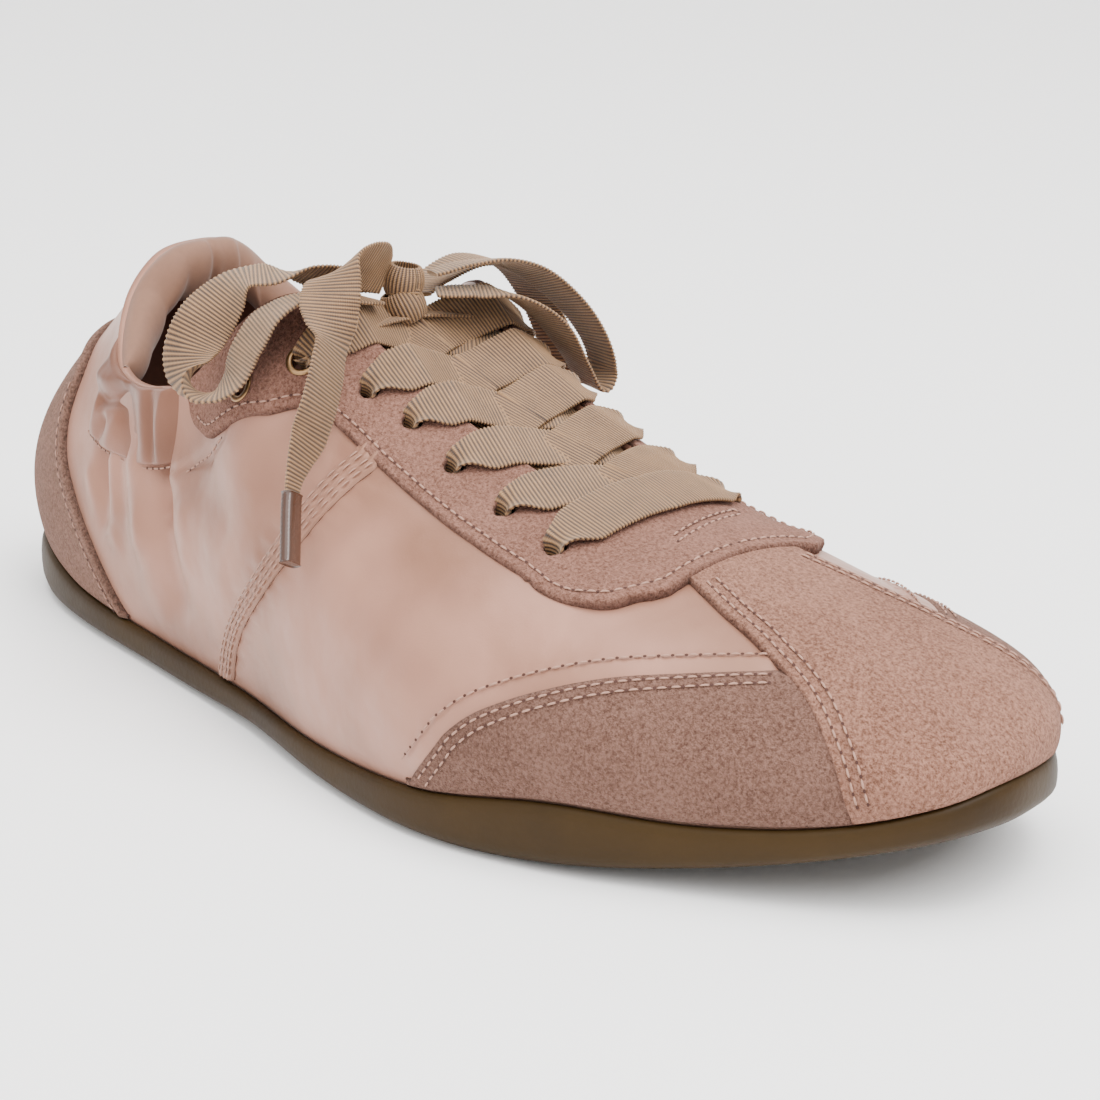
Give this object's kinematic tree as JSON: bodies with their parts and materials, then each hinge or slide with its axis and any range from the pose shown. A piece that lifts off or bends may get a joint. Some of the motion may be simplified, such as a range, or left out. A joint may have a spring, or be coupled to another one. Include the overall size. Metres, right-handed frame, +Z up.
{
  "type": "low sneaker",
  "caption": "Low slim right-foot sneaker with a satin upper, suede overlays, a low rubber sole and a wide ribbon lace tied in a bow.",
  "frame": {"origin": "on the floor under the middle of the shoe, measured without the bow", "axes": "+X towards the toe, -Y towards the outer side of the right foot, +Z up"},
  "size_m": [0.2582, 0.0979, 0.0905],
  "materials": {
    "rubber": "satin olive-brown gum rubber",
    "satin": "pale pink satin with a soft sheen",
    "suede": "dusty pink suede",
    "lining": "pale brushed lining",
    "ribbon": "ribbed grosgrain ribbon",
    "metal": "thin antique metal rings"
  },
  "bodies": {
    "root": {"outsole": "rubber", "insole": "lining", "upper": "satin", "eyestay": "suede", "toe_strip": "suede", "toe_wing_lateral": "suede", "toe_wing_medial": "suede", "heel_counter": "suede", "cuff_lateral": "satin", "cuff_medial": "satin", "seam_band_lateral": "satin", "seam_band_medial": "satin", "collar_roll": "lining", "tongue": "lining", "eyelet_lateral_6": "metal", "eyelet_medial_6": "metal", "eyelet_lateral_7": "metal", "eyelet_medial_7": "metal", "lace_crossings": "ribbon", "lace_loop_lateral": "ribbon", "lace_loop_medial": "ribbon", "lace_end_lateral": "ribbon", "lace_end_medial": "ribbon", "lace_knot": "ribbon", "aglet_lateral": "ribbon", "aglet_medial": "ribbon"}
  },
  "joints": []
}
